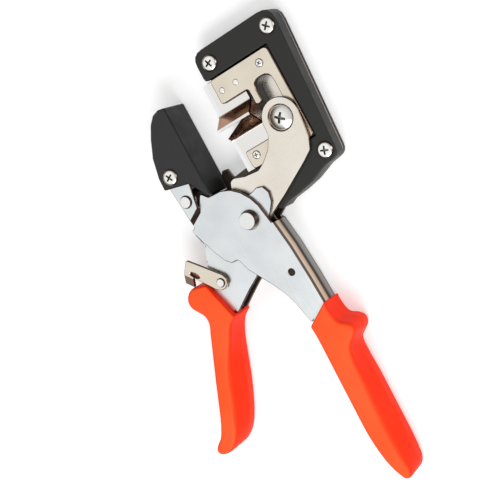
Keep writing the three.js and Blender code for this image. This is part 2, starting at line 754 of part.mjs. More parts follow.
function makeBlade() {
  const foot = carrierFoot + flangeInset;
  const head = carrierTop - flangeInset;
  const near = bladeAxis - bladeHalfWidth;
  const far = bladeAxis + bladeHalfWidth;
  const peak = clampBack + bladeRise;
  const slope = (bladeHalfWidth - bladeRidge) / bladeRise;
  const wall = bladeSheet * Math.hypot(1, slope);
  const innerNear = near + wall - bladeSheet * slope;
  const innerFar = far - wall + bladeSheet * slope;
  const innerRidge = bladeRidge * 0.25;
  const innerPeak = clampBack + (bladeHalfWidth - wall - innerRidge) / slope;
  const bend = bladeFoldRadius * 0.4;
  const outer = [
    [foot, clampBack], [near - bladeFoldRadius, clampBack],
    [near + bladeFoldRadius * slope, clampBack + bladeFoldRadius],
    [bladeAxis - bladeRidge, peak], [bladeAxis + bladeRidge, peak],
    [far - bladeFoldRadius * slope, clampBack + bladeFoldRadius],
    [far + bladeFoldRadius, clampBack], [head, clampBack],
  ];
  const inner = [
    [foot, flangeBack], [innerNear - bend, flangeBack], [innerNear + bend * slope, flangeBack + bend],
    [bladeAxis - innerRidge, innerPeak], [bladeAxis + innerRidge, innerPeak],
    [innerFar - bend * slope, flangeBack + bend], [innerFar + bend, flangeBack], [head, flangeBack],
  ];
  const ground = inner.map(([y, z], i) => {
    const [outerY, outerZ] = outer[i];
    const share = bladeEdgeThickness / Math.hypot(y - outerY, z - outerZ);
    return [outerY + (y - outerY) * share, outerZ + (z - outerZ) * share];
  });
  const ringAt = (x, lining) => [...outer, ...[...lining].reverse()].map(([y, z]) => (
    new THREE.Vector3(x, y, z)
  ));
  const body = loft(
    [ringAt(bladeEdge, ground), ringAt(bladeEdge + bladeGroundWidth, inner), ringAt(bladeRight, inner)],
    ({ y, z }) => new THREE.Vector2(y, z),
  );
  const relief = new THREE.Shape(outline([
    [bladeEdge - overrun, near + 2 * bladeFoldRadius], [bladeEdge, near + 2 * bladeFoldRadius],
    [bladeEdge + bladeReliefLength, bladeAxis - bladeRidge], [bladeEdge - overrun, bladeAxis - bladeRidge],
  ]));
  return cut(
    body,
    slab(relief, flangeBack - overrun, peak + overrun),
    ...clampHoles(flangeBack - overrun, clampBack + overrun),
  );
}

// The plate that links the lever to the drive, with a shallow seat for the screw's head
function makeLeverPlate() {
  const shape = rounded(placed(leverPlateShares, driveAcross, driveUp), sheetRound * 2);
  const seat = leverPlateFront - driveHeadSink;
  const holeFoot = leverPlateBack - overrun;
  const holeHead = leverPlateFront + overrun;
  return cut(
    joined(
      slab(shape, leverPlateBack, leverPlateFront),
      rod(drivePlace, leverHeadRadius, leverPlateBack, leverPlateFront, 48),
    ),
    rod(drivePlace, driveHeadRadius + driveHeadRing, seat, holeHead, 32),
    rod(drivePlace, driveScrewRadius + seatGap, holeFoot, holeHead),
    rod(pivotPlace, pivotRadius + seatGap, holeFoot, holeHead),
    rod(leverRivetPlace, leverRivetRadius + seatGap, holeFoot, holeHead),
  );
}

// The spring is an unbroken coil with one leg on the frame's web and one under the spring pin
const coilRadius = pivotRadius + bushWall + springClearance + springWire / 2;
const coilFoot = leverBackFace + runningGap + springWire / 2;
const coilEnd = new THREE.Vector2(Math.cos(springEnd), Math.sin(springEnd));
const tailStart = coilEnd.clone().multiplyScalar(coilRadius);
const tailAlong = new THREE.Vector2(-coilEnd.y, coilEnd.x);
const pinDistance = springWire / 2 + springPinRadius + seatGap;
const pinReach = springTail - springPinRadius;
const springPinPlace = [
  tailStart.x + tailAlong.x * pinReach + tailAlong.y * pinDistance,
  tailStart.y + tailAlong.y * pinReach - tailAlong.x * pinDistance,
];

function springPoints() {
  const [top, next] = webPoints;
  const webEdge = THREE.MathUtils.mapLinear(-springLeg, top.y, next.y, top.x, next.x);
  const legEnd = webEdge - frameSheet - springWire / 2 - 2 * seatGap;
  const points = [new THREE.Vector3(legEnd, -springLeg, coilFoot)];
  const rise = springTurnHeight * (springEnd - springStart) / (2 * Math.PI);
  for (let i = 0; i <= springSteps; i += 1) {
    const angle = THREE.MathUtils.lerp(springStart, springEnd, i / springSteps);
    const place = new THREE.Vector2(Math.cos(angle), Math.sin(angle)).multiplyScalar(coilRadius);
    points.push(new THREE.Vector3(place.x, place.y, coilFoot + rise * i / springSteps));
  }
  const end = tailStart.clone().addScaledVector(tailAlong, springTail);
  points.push(new THREE.Vector3(end.x, end.y, coilFoot + rise));
  return points;
}

function makeSpring(points) {
  const rings = points.map((point, i) => {
    const before = points[Math.max(i - 1, 0)];
    const after = points[Math.min(i + 1, points.length - 1)];
    const along = after.clone().sub(before).normalize();
    const side = new THREE.Vector3(along.y, -along.x, 0).normalize();
    const rise = new THREE.Vector3().crossVectors(side, along);
    return Array.from({ length: springSides }, (_, k) => {
      const angle = 2 * Math.PI * k / springSides;
      const place = point.clone().addScaledVector(side, Math.cos(angle) * springWire / 2);
      return place.addScaledVector(rise, Math.sin(angle) * springWire / 2);
    });
  });
  const count = springSides;
  const last = (rings.length - 1) * count;
  const index = [];
  for (let i = 0; i < last; i += count) {
    for (let k = 0; k < count; k += 1) {
      const next = (k + 1) % count;
      index.push(i + k, i + k + count, i + next, i + next, i + k + count, i + next + count);
    }
  }
  for (let k = 1; k < count - 1; k += 1) {
    index.push(0, k, k + 1, last, last + k + 1, last + k);
  }
  const places = new Float32Array(rings.flat().flatMap(({ x, y, z }) => [x, y, z]));
  const geometry = new THREE.BufferGeometry();
  geometry.setAttribute('position', new THREE.BufferAttribute(places, 3));
  geometry.setIndex(index);
  return solidOf(geometry);
}

// The lever's folded sheet: front sheet, web on the left, back sheet with a small hub, and tang
function makeLeverChannel() {
  const edge = leverWebPoints.slice(0, 2);
  const lower = placed([...leverMouthShares, ...leverFootShares], handleWidth, handleLength);
  const head = placed(leverHeadShares, handleWidth, handleLength);
  const hub = placed(leverHubShares, handleWidth, handleLength);
  const frontShape = rounded([...lower, ...head, ...edge], sheetRound);
  const backShape = rounded([...lower, ...hub, ...edge], sheetRound);
  const tang = new THREE.Shape(leverTangPoints);
  const holes = [-overrun, gripFront];
  return cut(
    joined(
      slab(frontShape, leverPlateFront, leverFront),
      slab(backShape, leverBack, leverBackFace),
      slab(tang, leverPlateFront, leverFront),
      slab(tang, leverBack, leverBackFace),
      slab(strip(leverWebPoints, -leverSheet), leverBack, leverFront),
    ),
    rod(pivotPlace, pivotRadius + seatGap, ...holes),
    rod(springPinPlace, springPinRadius + seatGap, ...holes),
    rod(leverRivetPlace, leverRivetRadius + seatGap, leverPlateFront - overrun, gripFront),
    rod(latchPlace, latchRivetRadius + seatGap, leverPlateFront - overrun, gripFront),
  );
}

// The latch plate slopes down beyond its lower left edge as a thumb tab, with a hole at the fold
function makeLatch() {
  const bottom = leverFront + latchGap;
  const top = bottom + latchSheet;
  const points = placed(latchShares, latchWidth, latchHeight, latchAcross, latchUp);
  const upper = points.at(-1);
  const along = points.at(-2).clone().sub(upper);
  const out = new THREE.Vector2(along.y, -along.x).normalize();
  const tip = latchTabReach + latchSheet * 0.5;
  const section = [
    [-latchSheet, bottom], [0, bottom], [latchTabReach, bottom - latchTabDrop],
    [tip, bottom - latchTabDrop + latchSheet * 0.8], [latchSheet * 0.3, top], [-latchSheet, top],
  ];
  const rings = [0.02, 0.5].map((share) => section.map(([reach, height]) => {
    const place = upper.clone().addScaledVector(along, share).addScaledVector(out, reach);
    return new THREE.Vector3(place.x, place.y, height);
  }));
  const centre = upper.clone().addScaledVector(along, 0.5).addScaledVector(out, -latchHoleInset);
  const hole = new THREE.Shape();
  hole.absellipse(
    centre.x, centre.y, latchHoleWidth, latchHoleHeight, 0, Math.PI * 2, false, along.angle(),
  );
  return cut(
    joined(
      slab(rounded(points, sheetRound), bottom, top),
      loft(rings, (point) => new THREE.Vector2(point.x * out.x + point.y * out.y, point.z)),
    ),
    slab(hole, bottom - latchTabDrop, top + overrun),
    rod(latchPlace, latchRivetRadius + seatGap, bottom - overrun, top + overrun),
  );
}

addChrome('frame_channel', makeFrame());
addGrip('right_grip', makeGrip(
  rightGripShares, rightGripWidth, rightGripLength, rightGripLeft, rightGripTop,
  rightTangPoints, chassisBack, frontFace,
));
addPlastic('anvil', makeAnvil());
addZinc('anvil_screw', screw(
  anvilScrewPlace, coverScrewRadius, coverHeadRadius, coverHeadHeight,
  frameSheet + 2 * seatGap, anvilDepth, 0.3,
));
addSteel('anvil_nut', cut(
  rod(anvilScrewPlace, nutRadius, frameSheet + seatGap, frameSheet + seatGap + nutHeight, 6),
  rod(anvilScrewPlace, coverScrewRadius + seatGap, 0, anvilDepth),
));
const strapFace = frontFace + strapRise;
addChrome('strap_rivet', turned(strapRivetPlace, [
  [0, 0], [strapRivetRadius + sinkDepth, 0], [strapRivetRadius, sinkDepth],
  [strapRivetRadius, strapFace], [strapRivetHeadRadius, strapFace],
  [strapRivetHeadRadius, strapFace + strapRivetHeadHeight * 0.7],
  [strapRivetHeadRadius * 0.88, strapFace + strapRivetHeadHeight],
  [0, strapFace + strapRivetHeadHeight],
]));
addSteel('strap_spacer', tube(
  strapRivetPlace, strapRivetRadius + seatGap, strapRivetRadius + spacerWall,
  frameSheet + seatGap, frontBack + strapRise - seatGap,
));
addPlastic('housing_front', makeHousing());
addPlastic('housing_back', makeHousingBack());
const coverScrewFoot = coverSkin + seatGap;
coverScrewPlaces.forEach((place, i) => {
  addZinc(`housing_screw_${i + 1}`, screw(
    place, coverScrewRadius, coverHeadRadius, coverHeadHeight, coverScrewFoot, housingFront, 0.4 * i,
  ));
});
addZinc('housing_screw_4', screw(
  sunkScrewPlace, coverScrewRadius, coverHeadRadius, coverHeadHeight, coverScrewFoot,
  housingFront - coverHeadHeight - runningGap, 0.2,
));
addChrome('pivot_rivet', turned(pivotPlace, [
  [0, 0], [pivotHeadRadius * 0.93, 0], [pivotHeadRadius, pivotHeadHeight * 0.1],
  [pivotHeadRadius, chassisBack], [pivotRadius, chassisBack], [pivotRadius, frontFace],
  [pivotHeadRadius, frontFace], [pivotHeadRadius, frontFace + pivotHeadHeight * 0.88],
  [pivotHeadRadius * 0.93, frontFace + pivotHeadHeight], [0, frontFace + pivotHeadHeight],
], 32));
addSteel('pivot_bush', tube(
  pivotPlace, pivotRadius + seatGap, pivotRadius + bushWall,
  leverBackFace + seatGap, leverPlateBack - seatGap,
));
addSteel('return_spring', makeSpring(springPoints()));

addChrome('lever_channel', makeLeverChannel());
addGrip('left_grip', makeGrip(
  leftGripShares, leftGripWidth, leftGripLength, leftGripRight, leftGripTop,
  leverTangPoints, leverBack, leverFront,
));
addNickel('lever_plate', makeLeverPlate());
addChrome('lever_rivet', rod(
  leverRivetPlace, leverRivetRadius, leverPlateBack + seatGap, leverFront - seatGap,
));
addZinc('drive_screw', screw(
  drivePlace, driveScrewRadius, driveHeadRadius, driveHeadHeight, carrierBack + 2 * runningGap,
  leverPlateFront - driveHeadSink, 0.5,
));
addSteel('drive_sleeve', tube(
  drivePlace, driveScrewRadius + seatGap, sleeveRadius, carrierBack + runningGap, leverPlateBack,
));
addSteel('spring_pin', rod(
  springPinPlace, springPinRadius, leverBack + seatGap, leverFront - seatGap,
));

addNickel('clamp_plate', makeClampPlate());
addPlastic('carrier', makeCarrier());
addNickel('v_blade', makeBlade());
const clampFoot = flangeBack - clampHoleDepth + seatGap;
clampRivetPlaces.forEach((place, i) => {
  addZinc(`clamp_rivet_${i + 1}`, stud(
    place, clampRivetRadius, clampRivetHeadRadius, clampRivetHeadHeight, clampFoot, clampFront,
  ));
});
clampScrewPlaces.forEach((place, i) => {
  addZinc(`clamp_screw_${i + 1}`, screw(
    place, clampScrewRadius, clampHeadRadius, clampHeadHeight, clampFoot, clampFront, 0.6 + 0.5 * i,
  ));
});

addNickel('latch', makeLatch());
const latchFace = leverFront + latchGap + latchSheet;
addZinc('latch_rivet', turned(latchPlace, [
  [0, leverPlateFront - latchHeadHeight], [latchHeadRadius, leverPlateFront - latchHeadHeight],
  [latchHeadRadius, leverPlateFront], [latchRivetRadius, leverPlateFront],
  [latchRivetRadius, latchFace + seatGap], [latchHeadRadius, latchFace + seatGap],
  [latchHeadRadius * 0.9, latchFace + latchHeadHeight], [0, latchFace + latchHeadHeight],
]));

export default group;
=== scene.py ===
# %% [markdown]
# # Dressing a pair of grafting shears
# The shears arrive as plain solids in metres: a folded sheet frame, a lever that turns on the
# main pivot, and a carrier that slides a V shaped blade sideways against a black anvil. This
# lesson keeps every solid where it is and gives each visible piece its real edges and its real
# finish.

# %% Load the frame
import json
import math

import bmesh
import bpy
from mathutils import Matrix, Vector


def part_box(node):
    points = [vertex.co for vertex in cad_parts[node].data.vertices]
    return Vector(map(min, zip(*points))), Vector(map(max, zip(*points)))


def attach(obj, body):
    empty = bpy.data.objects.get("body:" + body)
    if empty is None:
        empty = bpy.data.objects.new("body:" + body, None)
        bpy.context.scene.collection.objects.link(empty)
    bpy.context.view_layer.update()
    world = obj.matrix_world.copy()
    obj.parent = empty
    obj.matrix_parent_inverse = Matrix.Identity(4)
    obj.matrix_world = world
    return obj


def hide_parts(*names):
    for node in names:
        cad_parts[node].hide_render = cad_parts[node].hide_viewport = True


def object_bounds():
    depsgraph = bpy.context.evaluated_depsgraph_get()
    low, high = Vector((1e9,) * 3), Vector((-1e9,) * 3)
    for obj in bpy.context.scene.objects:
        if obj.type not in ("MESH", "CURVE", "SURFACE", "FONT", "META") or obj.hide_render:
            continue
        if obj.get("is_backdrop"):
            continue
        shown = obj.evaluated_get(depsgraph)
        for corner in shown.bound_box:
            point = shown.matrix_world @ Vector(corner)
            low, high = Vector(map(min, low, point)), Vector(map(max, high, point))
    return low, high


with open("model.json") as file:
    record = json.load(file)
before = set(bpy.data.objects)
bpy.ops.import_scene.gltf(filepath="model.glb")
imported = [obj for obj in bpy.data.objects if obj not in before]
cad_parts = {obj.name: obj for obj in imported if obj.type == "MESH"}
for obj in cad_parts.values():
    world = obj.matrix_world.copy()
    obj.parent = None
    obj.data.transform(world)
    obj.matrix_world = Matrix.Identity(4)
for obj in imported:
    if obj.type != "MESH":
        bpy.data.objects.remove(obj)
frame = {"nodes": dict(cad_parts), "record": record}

cad_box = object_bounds()
mm = 0.001

# %% [markdown]
# The camera comes first, because every later choice is judged through it. The tool lies on its
# back and the camera hangs above it, a little towards the housing, with the head of the tool
# turned up to the left. The lens is long, so the far grip is hardly smaller than the head. The
# camera's three axes are built from two plain angles, which are easier to read and to correct
# than three rotations.

# %% Camera
tilt = math.radians(29)
roll = math.radians(28.4)
camera_place = (0.25225, -0.01022, 0.4827)
photo_width = 500
focal_length = 1136  # in pixels, like the width
look_back = Vector((math.sin(tilt), 0, math.cos(tilt)))
level_right = Vector((math.cos(tilt), 0, -math.sin(tilt)))
tool_up = Vector((0, 1, 0))
image_right = level_right * math.cos(roll) - tool_up * math.sin(roll)
image_up = level_right * math.sin(roll) + tool_up * math.cos(roll)

eye = bpy.data.cameras.new("photo_camera")
eye.sensor_width = 36
eye.lens = focal_length / photo_width * eye.sensor_width
eye.clip_start = 0.01
camera = bpy.data.objects.new("photo_camera", eye)
turn = Matrix((image_right, image_up, look_back)).transposed().to_4x4()
camera.matrix_world = Matrix.Translation(camera_place) @ turn
bpy.context.collection.objects.link(camera)
bpy.context.scene.camera = camera
print("camera lens", round(eye.lens, 1), "mm")

# %% [markdown]
# Plated steel shows its surroundings, so the light is part of the finish. Three soft panels stand
# round the tool, as in a studio: a weak one over the plates, a strong one on the side of the
# grips that lights the floor and puts the bright spot on the lower side of the screw heads, and
# one low down at the right that catches upright edges. Area lamps are used because a wide lamp
# gives soft shadows, and each is simply aimed at the middle of the tool.


# %% Soft light
def soft_panel(name, place, width, height, power):
    lamp = bpy.data.lights.new(name, "AREA")
    lamp.shape = "RECTANGLE"
    lamp.size = width
    lamp.size_y = height
    lamp.energy = power
    panel = bpy.data.objects.new(name, lamp)
    aim = tool_middle - Vector(place)
    panel.matrix_world = (
        Matrix.Translation(place) @ aim.to_track_quat("-Z", "Y").to_matrix().to_4x4()
    )
    bpy.context.collection.objects.link(panel)


tool_middle = Vector((0, -0.02, 0))
soft_panel("plate_panel", (-0.55, 0.1, 0.95), width=0.9, height=1.1, power=0.15)
soft_panel("grip_panel", (-0.05, -0.85, 0.95), width=0.9, height=0.6, power=10)
soft_panel("edge_panel", (0.8, -0.1, 0.42), width=0.4, height=0.3, power=1.6)

# %% [markdown]
# Most of what the plates mirror is the room. It is white overhead, where the flat plates look,
# and falls to dark brown towards the horizon, where folds and rounded edges look. That gives each
# edge its thin dark line. A colour ramp over the height of the view makes such a room without any
# picture.


# %% Room
def fill_ramp(ramp, stops):
    """Sets the stops of a colour ramp, which has two of them from the start."""
    for i, (place, tint) in enumerate(stops):
        stop = ramp.elements[i] if i < 2 else ramp.elements.new(place)
        stop.position = place
        stop.color = (*tint, 1)


def make_room():
    room = bpy.data.worlds.new("studio_room")
    room.use_nodes = True
    nodes, links = room.node_tree.nodes, room.node_tree.links
    aim = nodes.new("ShaderNodeTexCoord")
    split = nodes.new("ShaderNodeSeparateXYZ")
    fall = nodes.new("ShaderNodeValToRGB")
    fall.color_ramp.interpolation = "EASE"
    fill_ramp(
        fall.color_ramp,
        (
            (0.02, (0.1, 0.06, 0.045)),
            (0.3, (0.13, 0.09, 0.07)),
            (0.5, (0.5, 0.46, 0.43)),
            (0.66, (0.84, 0.85, 0.86)),
        ),
    )
    links.new(aim.outputs["Generated"], split.inputs["Vector"])
    links.new(split.outputs["Z"], fall.inputs["Fac"])
    links.new(fall.outputs["Color"], nodes["Background"].inputs["Color"])
    return room


bpy.context.scene.world = make_room()
bpy.context.scene.view_settings.view_transform = "Standard"
print("room", bpy.context.scene.world.name)

# %% [markdown]
# Every finish here is a base look plus small unevenness at the right scale. These three helpers
# give the base look: one starts a material with a plain colour, one adds a node with its values,
# and one joins two nodes. What is the same all over a piece is set on the shader itself.


# %% Start of a finish
def start_finish(name, color, metallic, roughness):
    finish = bpy.data.materials.new(name)
    finish.use_nodes = True
    shader = finish.node_tree.nodes["Principled BSDF"]
    shader.inputs["Base Color"].default_value = (*color, 1)
    shader.inputs["Metallic"].default_value = metallic
    shader.inputs["Roughness"].default_value = roughness
    return finish, shader


def add_node(finish, kind, **sockets):
    node = finish.node_tree.nodes.new(kind)
    for label, value in sockets.items():
        node.inputs[label].default_value = value
    return node


def wire(finish, source, target):
    finish.node_tree.links.new(source, target)


print("materials so far", len(bpy.data.materials))

# %% [markdown]
# Three more helpers give the unevenness. One makes a noise in the object's own coordinates, which
# stays put on the piece when it moves, and which can be drawn out along an axis to look brushed.
# One maps a pattern to a range of values, and one mixes two colours by a pattern.


# %% Patterns
def pattern(finish, scale, detail=3.0, stretch=(1, 1, 1)):
    """Noise on the object's own coordinates; a small stretch value draws it out."""
    place = add_node(finish, "ShaderNodeTexCoord")
    mapping = add_node(finish, "ShaderNodeMapping", Scale=stretch)
    noise = add_node(finish, "ShaderNodeTexNoise", Scale=scale, Detail=detail)
    wire(finish, place.outputs["Object"], mapping.inputs["Vector"])
    wire(finish, mapping.outputs["Vector"], noise.inputs["Vector"])
    return noise.outputs["Fac"]


def spread(finish, source, low, high, low_in=0.3, high_in=0.7):
    """Maps a pattern to a range of values."""
    ranged = add_node(finish, "ShaderNodeMapRange")
    ends = {"From Min": low_in, "From Max": high_in, "To Min": low, "To Max": high}
    for label, value in ends.items():
        ranged.inputs[label].default_value = value
    wire(finish, source, ranged.inputs["Value"])
    return ranged.outputs["Result"]


def mixed(finish, share, first, second):
    """A colour between two, each of them a plain colour or the output of another node."""
    mix = add_node(finish, "ShaderNodeMix")
    mix.data_type = "RGBA"
    for label, tone in (("A", first), ("B", second)):
        if isinstance(tone, tuple):
            mix.inputs[label].default_value = (*tone, 1)
        else:
            wire(finish, tone, mix.inputs[label])
    wire(finish, share, mix.inputs["Factor"])
    return mix.outputs["Result"]


print("patterns ready: noise, range and mix")

# %% [markdown]
# The floor is a plain pale board. It is a stage and no part of the tool, so it is marked as one.
# Its paint glows a little. Without that, a floor this pale would need a light that burns out the
# plates.

# %% Floor
floor_drop = 0.2 * mm
floor_mesh = bpy.data.meshes.new("floor")
work = bmesh.new()
bmesh.ops.create_grid(work, x_segments=1, y_segments=1, size=3)
bmesh.ops.translate(work, verts=work.verts, vec=(0, 0, -floor_drop))
work.to_mesh(floor_mesh)
work.free()
floor = bpy.data.objects.new("floor", floor_mesh)
bpy.context.collection.objects.link(floor)
floor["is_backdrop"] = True

floor_paint, paint = start_finish("floor_paint", (0.75, 0.75, 0.75), 0, 0.9)
mottle = spread(floor_paint, pattern(floor_paint, 4, 2.0), 0, 1)
pale_grey = mixed(floor_paint, mottle, (0.74, 0.74, 0.74), (0.76, 0.76, 0.76))
wire(floor_paint, pale_grey, paint.inputs["Base Color"])
paint.inputs["Emission Color"].default_value = (1, 1, 1, 1)
paint.inputs["Emission Strength"].default_value = 0.3
floor.data.materials.append(floor_paint)
print("floor", round(floor_drop / mm, 2), "mm under the tool")

# %% [markdown]
# Upright faces of the plating look into the dark part of the room. Their colour is painted darker
# where a face stands upright, a painted shade that stands in for that dark reflection, so that
# thin chamfers draw a clean outline. The height of the face's normal tells level faces from
# upright ones, and it is the same from every side. A small bump goes with it, for lines that are
# felt more than seen.


# %% Painted shade on the sides and relief
def painted_side_shade(finish, color, side, upright=0.7, level=0.96):
    """Paints a second colour, a painted shade, on upright faces, by the height of their normal."""
    facing = add_node(finish, "ShaderNodeNewGeometry")
    split = add_node(finish, "ShaderNodeSeparateXYZ")
    wire(finish, facing.outputs["Normal"], split.inputs["Vector"])
    flat = add_node(finish, "ShaderNodeMath")
    flat.operation = "ABSOLUTE"
    wire(finish, split.outputs["Z"], flat.inputs[0])
    return mixed(finish, spread(finish, flat.outputs["Value"], 0, 1, upright, level), side, color)


def relief(finish, shader, source, height):
    bump = add_node(finish, "ShaderNodeBump", Distance=height, Strength=1.0)
    wire(finish, source, bump.inputs["Height"])
    wire(finish, bump.outputs["Normal"], shader.inputs["Normal"])


print("sides are dark below a normal height of 0.7")

# %% [markdown]
# The frame's long side wall mirrors the grips and the dark room in bands that run along the tool.
# Those bands are painted reflections and painted shade in the wall's colour. They depend only on
# the height in the wall, so a ramp over the object's Z coordinate paints them: dark near the
# floor, warm in the middle, with a thin painted shadow line under the front sheet.


# %% Painted reflection bands of the side wall
def object_axis(finish, axis):
    """How far a point lies along one of the object's own axes, in metres."""
    place = add_node(finish, "ShaderNodeTexCoord")
    split = add_node(finish, "ShaderNodeSeparateXYZ")
    wire(finish, place.outputs["Object"], split.inputs["Vector"])
    return split.outputs[axis]


def painted_reflection_bands(finish):
    """Painted reflection and shade bands that run along an upright wall, one above the other."""
    share = spread(finish, object_axis(finish, "Z"), 0, 1, 0, frame_height)
    bands = add_node(finish, "ShaderNodeValToRGB")
    fill_ramp(
        bands.color_ramp,
        (
            (0.12, (0.05, 0.045, 0.04)),
            (0.24, (0.3, 0.29, 0.28)),
            (0.4, (0.22, 0.2, 0.18)),
            (0.47, (0.025, 0.02, 0.018)),
            (0.57, (0.03, 0.022, 0.018)),
            (0.63, (0.5, 0.35, 0.24)),
            (0.82, (0.62, 0.5, 0.38)),
            (0.87, (0.05, 0.03, 0.025)),
            (0.95, (0.09, 0.06, 0.05)),
        ),
    )
    wire(finish, share, bands.inputs["Fac"])
    return bands.outputs["Color"]


frame_height = 16.6 * mm
print("stripes over", round(frame_height / mm, 1), "mm of wall")

# %% [markdown]
# The frame and the lever are pressed from sheet, then plated. The plating is bright but not a
# mirror: it has a soft cloudy tone and faint lines along the tool from the polishing belt. The
# colour noise is slow, the roughness noise is stretched along the handle, and the bump is a few
# microns high. The frame's walls get the painted reflection bands, and the lever's walls, deep
# inside the frame, one dark painted shade.


# %% Satin plating of the frame and lever
def make_satin_plating(name, wall):
    """Satin plating; its walls get the given plain painted shade, or without one the painted
    reflection bands.
    """
    finish, shader = start_finish(name, (0.8, 0.83, 0.85), 1, 0.3)
    cloud = spread(finish, pattern(finish, 55, 2.0), 0, 1)
    tone = mixed(finish, cloud, (0.735, 0.76, 0.77), (0.845, 0.87, 0.875))
    # The walls take a plain painted shade or the painted reflection bands.
    side = wall or painted_reflection_bands(finish)
    wire(finish, painted_side_shade(finish, tone, side), shader.inputs["Base Color"])
    lines = pattern(finish, 900, 4.0, (1, 0.04, 1))
    wire(finish, spread(finish, lines, 0.24, 0.38), shader.inputs["Roughness"])
    relief(finish, shader, lines, 0.007 * mm)
    return finish


satin_plating = make_satin_plating("satin_plating", None)
# The lever's walls get a plain dark painted shade.
lever_plating_painted_wall_shade = make_satin_plating("lever_plating_painted_wall_shade", (0.03, 0.025, 0.022))
print("plating", satin_plating.name, lever_plating_painted_wall_shade.name)

# %% [markdown]
# The plates on the front are nickel plated, which is warmer than chrome: it leans to straw and
# rose. They are flatter and a little smoother than the frame, so the lines are finer and the
# clouds larger. The same recipe, with other tones, also gives the zinc of the screws, the bright
# rivet heads and the painted brown shade inside the channels and under the latch, so one function
# makes them all. Each of them turns to a darker side colour on upright faces, a painted shade.


# %% Nickel, zinc and rivet steel
def make_warm_nickel(name, dark, light, smooth, rough, side=(0.13, 0.09, 0.065)):
    finish, shader = start_finish(name, light, 1, smooth)
    cloud = spread(finish, pattern(finish, 60, 3.0), 0, 1)
    tone = mixed(finish, cloud, dark, light)
    # Upright faces take the side colour, a painted shade.
    wire(finish, painted_side_shade(finish, tone, side), shader.inputs["Base Color"])
    lines = pattern(finish, 1400, 3.0, (0.06, 1, 1))
    wire(finish, spread(finish, lines, smooth, rough), shader.inputs["Roughness"])
    relief(finish, shader, lines, 0.005 * mm)
    return finish


warm_nickel = make_warm_nickel(
    "warm_nickel", (0.85, 0.775, 0.67), (0.91, 0.855, 0.775), 0.24, 0.31
)
clamp_nickel = make_warm_nickel(
    "clamp_nickel", (0.76, 0.67, 0.54), (0.86, 0.78, 0.65), 0.24, 0.31
)
zinc_coat = make_warm_nickel(
    "zinc_coat", (0.93, 0.92, 0.86), (1, 1, 0.96), 0.14, 0.24, (0.16, 0.12, 0.1)
)
# Rivet heads: their upright sides get a near-black painted shade.
rivet_steel = make_warm_nickel(
    "rivet_steel", (0.85, 0.85, 0.82), (0.95, 0.95, 0.92), 0.2, 0.34, (0.07, 0.05, 0.04)
)
# A painted brown shade for the insides of the channels, where little light arrives.
painted_channel_shade = make_warm_nickel(
    "painted_channel_shade", (0.07, 0.055, 0.045), (0.12, 0.09, 0.075), 0.3, 0.45, (0.26, 0.15, 0.1)
)
# A painted brown shade for the latch's tab and dish, which look away from the light.
painted_tab_shade = make_warm_nickel(
    "painted_tab_shade", (0.2, 0.085, 0.045), (0.4, 0.19, 0.11), 0.25, 0.4, (0.1, 0.05, 0.03)
)
print("nickel", warm_nickel.name, clamp_nickel.name, "and", zinc_coat.name, rivet_steel.name)

# %% [markdown]
# The blade is polished all over, and its front edge is ground. Grinding leaves short lines square
# to the edge and a rougher, paler band, so the finish asks for the place along the blade: the
# distance from the edge is read from the object's X coordinate, and it drives both roughness and
# tone.


# %% Ground blade steel
def make_blade_steel():
    finish, shader = start_finish("blade_steel", (0.8, 0.77, 0.74), 1, 0.16)
    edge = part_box("v_blade")[0][0]
    ground, polished = edge + 1.6 * mm, edge + 2.1 * mm
    band = spread(finish, object_axis(finish, "X"), 1, 0, ground, polished)
    tone = mixed(finish, band, (0.9, 0.87, 0.83), (0.95, 0.95, 0.94))
    # Upright faces of the blade take a brown painted shade.
    wire(finish, painted_side_shade(finish, tone, (0.4, 0.22, 0.14)), shader.inputs["Base Color"])
    lines = pattern(finish, 1600, 3.0, (0.05, 1, 1))
    rough = add_node(finish, "ShaderNodeMath")
    rough.operation = "MULTIPLY_ADD"
    wire(finish, band, rough.inputs[0])
    rough.inputs[1].default_value = 0.16
    wire(finish, spread(finish, lines, 0.1, 0.2), rough.inputs[2])
    wire(finish, rough.outputs["Value"], shader.inputs["Roughness"])
    relief(finish, shader, lines, 0.015 * mm)
    return finish


blade_steel = make_blade_steel()

# %% [markdown]
# The housing, anvil and carrier are filled plastic with a fine moulded grain. Black plastic is
# never quite black: light catches the grain, so the faces look charcoal. The sides are painted
# deep black, a painted shade at 0.35 of the dark tone. The grain is a noise of a third of a
# millimetre, slow changes of roughness break up the sheen, and a low specular level keeps the
# white room from greying the faces.


# %% Black plastic
def make_black_plastic(name, dark, light, smooth, rough):
    finish, shader = start_finish(name, light, 0, smooth)
    grain = pattern(finish, 2600, 2.0)
    tone = mixed(finish, grain, dark, light)
    # Upright faces take a painted shade, this share of the dark tone.
    painted_shade_share = 0.35
    deep = tuple(value * painted_shade_share for value in dark)
    wire(finish, painted_side_shade(finish, tone, deep), shader.inputs["Base Color"])
    sheen = pattern(finish, 90, 3.0)
    wire(finish, spread(finish, sheen, smooth, rough), shader.inputs["Roughness"])
    shader.inputs["Specular IOR Level"].default_value = 0.28
    relief(finish, shader, grain, 0.05 * mm)
    return finish


housing_black = make_black_plastic(
    "housing_black", (0.012, 0.012, 0.011), (0.026, 0.026, 0.024), 0.36, 0.5
)
anvil_black = make_black_plastic(
    "anvil_black", (0.014, 0.014, 0.015), (0.034, 0.034, 0.036), 0.4, 0.55
)
carrier_black = make_black_plastic(
    "carrier_black", (0.02, 0.019, 0.019), (0.035, 0.034, 0.034), 0.3, 0.42
)
print("black plastics", housing_black.name, anvil_black.name, carrier_black.name)

# %% [markdown]
# The grips are moulded in orange red plastic. The colour is strong and even, painted a little
# redder where the side turns away from the light, a painted shade, and the surface has a fine skin
# that softens the highlights into a broad pale sheen on the faces that look up.


